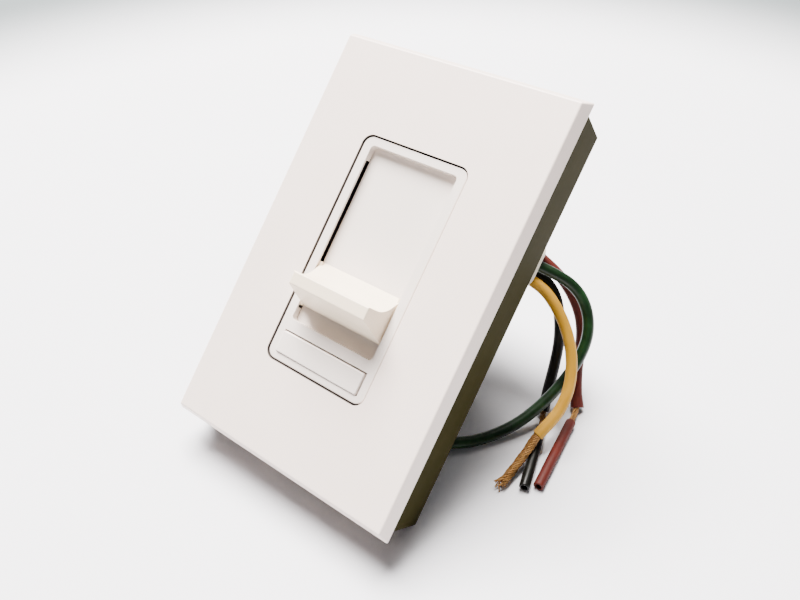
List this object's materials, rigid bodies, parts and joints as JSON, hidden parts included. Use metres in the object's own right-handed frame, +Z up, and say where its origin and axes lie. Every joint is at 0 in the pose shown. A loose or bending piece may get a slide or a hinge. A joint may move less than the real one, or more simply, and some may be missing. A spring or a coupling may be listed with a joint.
{
  "type": "slide dimmer switch",
  "caption": "Wall dimmer with a vertical slide and a push button in a white cover plate, on a finned heat sink and housing, with stripped leads for wiring into a wall box.",
  "frame": {"origin": "midway between the two box screw holes, on the wall surface", "axes": "+Z up the wall, +Y into the wall, +X to the right of someone facing the dimmer"},
  "size_m": [0.0967, 0.0744, 0.119],
  "materials": {
    "cover_plastic": "white, softly glossy",
    "bezel_plastic": "white, satin",
    "slide_plastic": "cream white, satin",
    "black_plastic": "black, matte",
    "grey_plastic": "dark grey, matte",
    "nylon": "natural nylon",
    "black_anodised": "olive-black anodised",
    "plated_steel": "zinc plated",
    "screw_steel": "bright",
    "fibre_board": "green lacquer",
    "carbon_board": "brown phenolic",
    "epoxy_black": "moulded epoxy",
    "rubber_grey": "silicone rubber",
    "mica": "mica sheet",
    "ferrite": "powder coated",
    "enamel_copper": "enamelled",
    "capacitor_yellow": "moulded case",
    "resistor_beige": "lacquered",
    "diac_blue": "lacquered",
    "bare_copper": "tinned and bare strands",
    "green_insulation": "dark green",
    "yellow_insulation": "warm yellow",
    "black_insulation": "near black",
    "red_insulation": "brick red"
  },
  "bodies": {
    "base": {"faceplate": "cover_plastic", "faceplate_adapter": "cover_plastic", "adapter_screws": "screw_steel", "bezel": "bezel_plastic", "track_panel": "bezel_plastic", "dust_shield": "black_plastic", "fader_frame": "plated_steel", "fader_board": "carbon_board", "switch_body": "black_plastic", "switch_dome": "rubber_grey", "heat_sink": "black_anodised", "upper_ear": "plated_steel", "lower_ear": "plated_steel", "ear_rivets": "screw_steel", "back_housing": "grey_plastic", "lead_boot": "nylon", "housing_screws": "screw_steel", "circuit_board": "fibre_board", "triac_insulator": "mica", "triac": "epoxy_black", "triac_rivet": "screw_steel", "choke_core": "ferrite", "choke_winding": "enamel_copper", "film_capacitor": "capacitor_yellow", "snubber_capacitor": "capacitor_yellow", "resistors": "resistor_beige", "diac": "diac_blue", "thermal_cutout": "plated_steel", "green_lead": "green_insulation", "yellow_lead": "yellow_insulation", "black_lead": "black_insulation", "red_lead": "red_insulation", "green_strands": "bare_copper", "yellow_strands": "bare_copper", "black_core": "bare_copper", "red_core": "bare_copper", "black_slug": "black_insulation", "red_slug": "red_insulation"},
    "slide": {"slide_paddle": "slide_plastic", "slide_carriage": "black_plastic", "fader_wiper": "grey_plastic"},
    "button": {"push_button": "bezel_plastic", "switch_plunger": "black_plastic"}
  },
  "joints": [
    {"name": "slide_travel", "type": "slide", "parent": "base", "child": "slide", "axis": [0, 0, 1], "range_m": [-0.0007, 0.0293]},
    {"name": "button_press", "type": "slide", "parent": "base", "child": "button", "axis": [0, 1, 0], "range_m": [0, 0.0012], "stiffness_N_per_m": 900, "springref_m": -0.0008}
  ]
}
